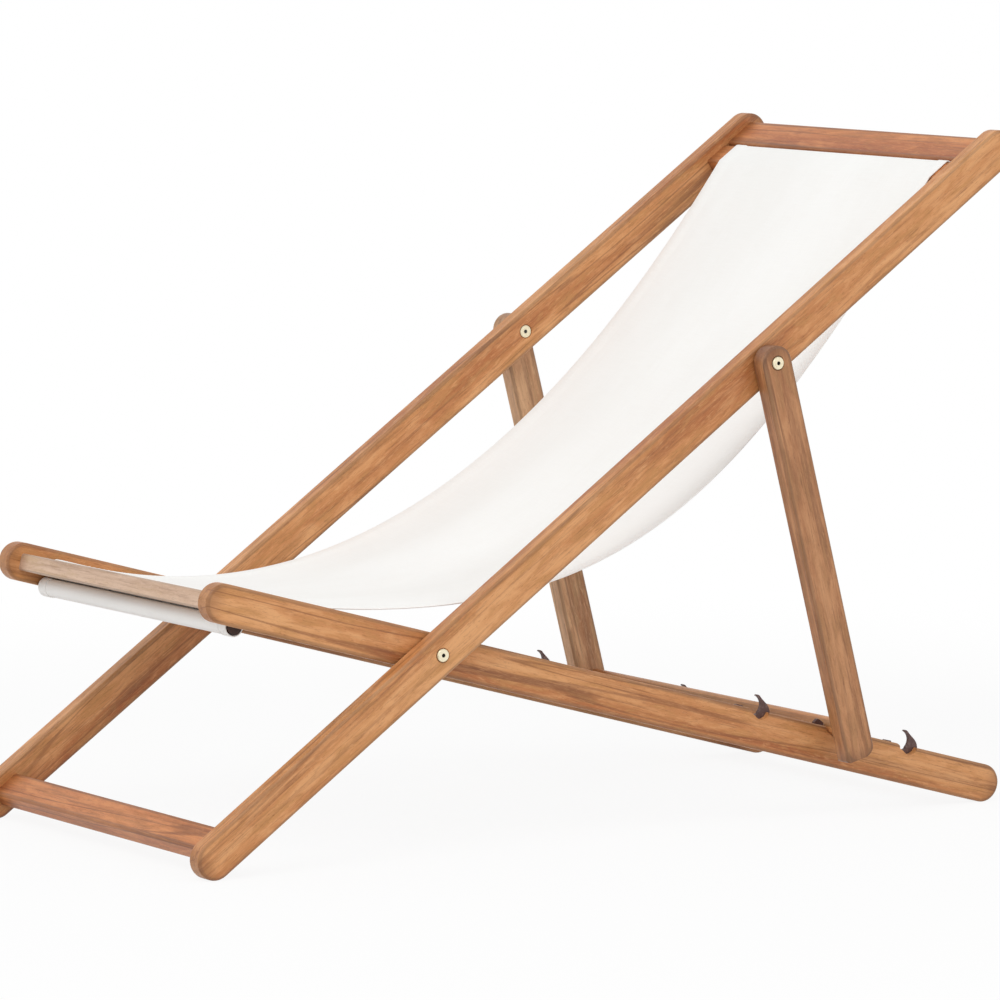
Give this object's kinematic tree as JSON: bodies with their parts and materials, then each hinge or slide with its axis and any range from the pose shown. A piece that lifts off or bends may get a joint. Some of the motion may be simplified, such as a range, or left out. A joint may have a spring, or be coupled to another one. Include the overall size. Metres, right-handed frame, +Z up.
{
  "type": "folding deck chair",
  "caption": "Folding wooden deck chair with a white canvas sling, three-position notched seat rails, plastic latches and a prop frame that rests its bar in the notches.",
  "frame": {"origin": "centre of the chair's footprint on the floor, at the middle of its bounding box", "axes": "+X to the right as seen from the front, -Y towards the front edge, +Z up"},
  "size_m": [0.5944, 1.1008, 0.7982],
  "materials": {
    "hardwood": "oiled, satin",
    "pale_hardwood": "oiled, satin",
    "dark_dowel": "stained, satin",
    "canvas": "plain woven cotton canvas, matt",
    "plastic": "moulded, satin",
    "brass": "pale brass plate, satin"
  },
  "bodies": {
    "back_frame": {"back_rail_left": "hardwood", "back_rail_right": "hardwood", "foot_stretcher": "hardwood", "top_slat": "hardwood", "top_sling_bar": "hardwood", "top_sling_dowel": "dark_dowel", "back_joint_pins": "pale_hardwood", "seat_bolt_left": "brass", "seat_bolt_right": "brass", "seat_nut_left": "brass", "seat_nut_right": "brass", "prop_bolt_left": "brass", "prop_bolt_right": "brass", "prop_nut_left": "brass", "prop_nut_right": "brass", "seat_pivot_washers": "brass", "prop_pivot_washers": "brass", "canvas_sling": "canvas"},
    "seat_frame": {"seat_rail_left": "hardwood", "seat_rail_right": "hardwood", "front_slat": "pale_hardwood", "front_sling_bar": "hardwood", "front_sling_dowel": "dark_dowel", "rear_stretcher": "hardwood", "seat_joint_pins": "pale_hardwood", "latch_pins": "brass"},
    "prop_frame": {"prop_arm_left": "hardwood", "prop_arm_right": "hardwood", "prop_bar": "hardwood"},
    "latch_left_front_body": {"latch_left_front": "plastic"},
    "latch_left_middle_body": {"latch_left_middle": "plastic"},
    "latch_left_rear_body": {"latch_left_rear": "plastic"},
    "latch_right_front_body": {"latch_right_front": "plastic"},
    "latch_right_middle_body": {"latch_right_middle": "plastic"},
    "latch_right_rear_body": {"latch_right_rear": "plastic"}
  },
  "joints": [
    {"name": "seat_fold", "type": "hinge", "parent": "back_frame", "child": "seat_frame", "pos_m": [0, -0.23691, 0.2301], "axis": [1, 0, 0], "range_deg": [0, 50.69], "deforming": ["canvas_sling"]},
    {"name": "prop_fold", "type": "hinge", "parent": "back_frame", "child": "prop_frame", "pos_m": [0, 0.19824, 0.54049], "axis": [1, 0, 0], "range_deg": [0, 285.9]},
    {"name": "latch_left_front_tilt", "type": "hinge", "parent": "seat_frame", "child": "latch_left_front_body", "pos_m": [-0.2375, 0.19323, 0.11793], "axis": [-1, 0, 0], "range_deg": [0, 30]},
    {"name": "latch_left_middle_tilt", "type": "hinge", "parent": "seat_frame", "child": "latch_left_middle_body", "pos_m": [-0.2375, 0.29842, 0.08936], "axis": [-1, 0, 0], "range_deg": [0, 8]},
    {"name": "latch_left_rear_tilt", "type": "hinge", "parent": "seat_frame", "child": "latch_left_rear_body", "pos_m": [-0.2375, 0.40361, 0.06079], "axis": [-1, 0, 0], "range_deg": [0, 30]},
    {"name": "latch_right_front_tilt", "type": "hinge", "parent": "seat_frame", "child": "latch_right_front_body", "pos_m": [0.2375, 0.19323, 0.11793], "axis": [-1, 0, 0], "range_deg": [0, 30]},
    {"name": "latch_right_middle_tilt", "type": "hinge", "parent": "seat_frame", "child": "latch_right_middle_body", "pos_m": [0.2375, 0.29842, 0.08936], "axis": [-1, 0, 0], "range_deg": [0, 8]},
    {"name": "latch_right_rear_tilt", "type": "hinge", "parent": "seat_frame", "child": "latch_right_rear_body", "pos_m": [0.2375, 0.40361, 0.06079], "axis": [-1, 0, 0], "range_deg": [0, 30]}
  ],
  "couplings": [
    {"joint": "prop_fold", "follows": "seat_fold", "ratio": 5.64}
  ]
}
